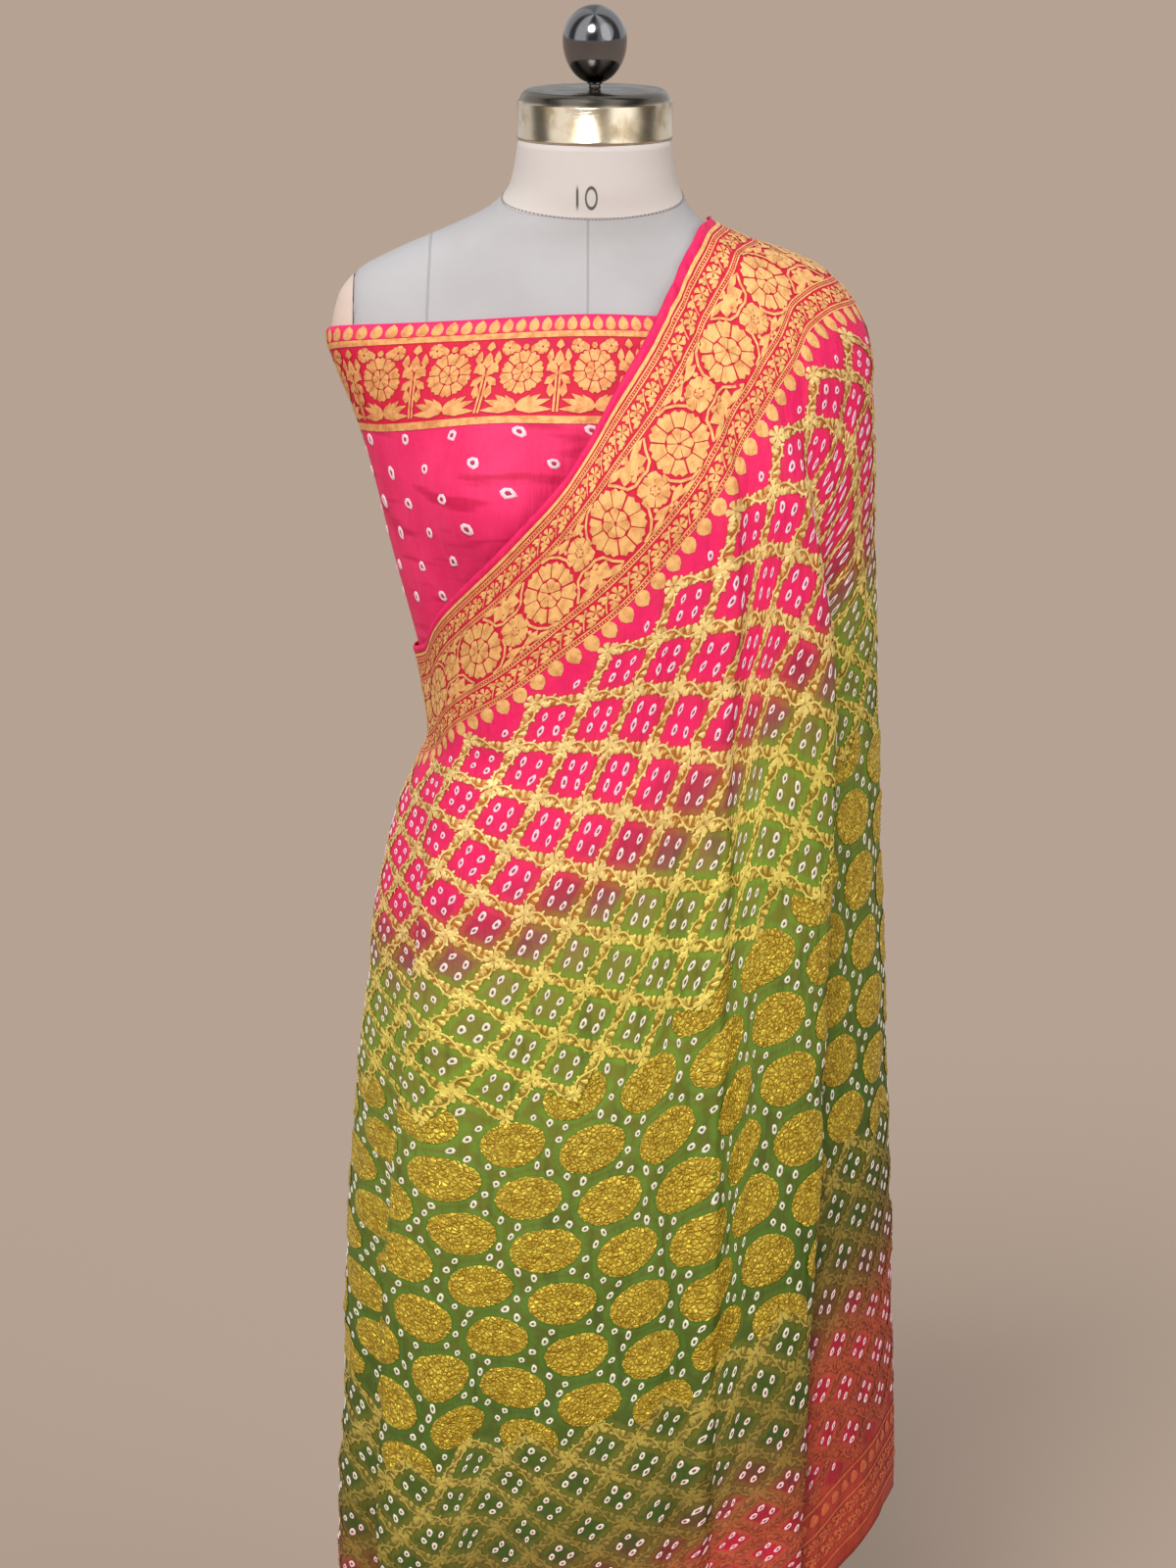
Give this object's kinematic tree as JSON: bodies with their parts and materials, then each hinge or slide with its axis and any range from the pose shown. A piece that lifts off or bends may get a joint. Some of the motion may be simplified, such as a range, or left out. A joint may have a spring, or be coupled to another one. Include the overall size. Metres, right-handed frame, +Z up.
{
  "type": "bandhani sari on a dress form",
  "caption": "Draped bandhani brocade sari, pinned over one shoulder of a plain dress form on a round stand, with its matching blouse cloth wrapped round the bust.",
  "frame": {"origin": "centre of the base plate's underside, on the floor", "axes": "+Z up; -Y the way the form faces; +X towards the shoulder that carries the sari"},
  "size_m": [0.4287, 0.3425, 1.3872],
  "materials": {
    "base_paint": "satin black powder coat",
    "chrome": "polished",
    "worn_steel": "spun, lightly worn",
    "linen_cover": "close matt weave",
    "arm_plate_canvas": "matt canvas",
    "pink_brocade": "crinkled silk with gold thread",
    "dyed_brocade": "tie-dyed crinkled silk with gold thread"
  },
  "bodies": {
    "root": {"base_plate": "base_paint", "pole": "chrome", "torso": "linen_cover", "arm_plate_bare": "arm_plate_canvas", "arm_plate_draped": "arm_plate_canvas", "neck_cap": "worn_steel", "knob_stem": "worn_steel", "knob": "chrome", "blouse_cloth": "pink_brocade", "sari": "dyed_brocade"}
  },
  "joints": []
}
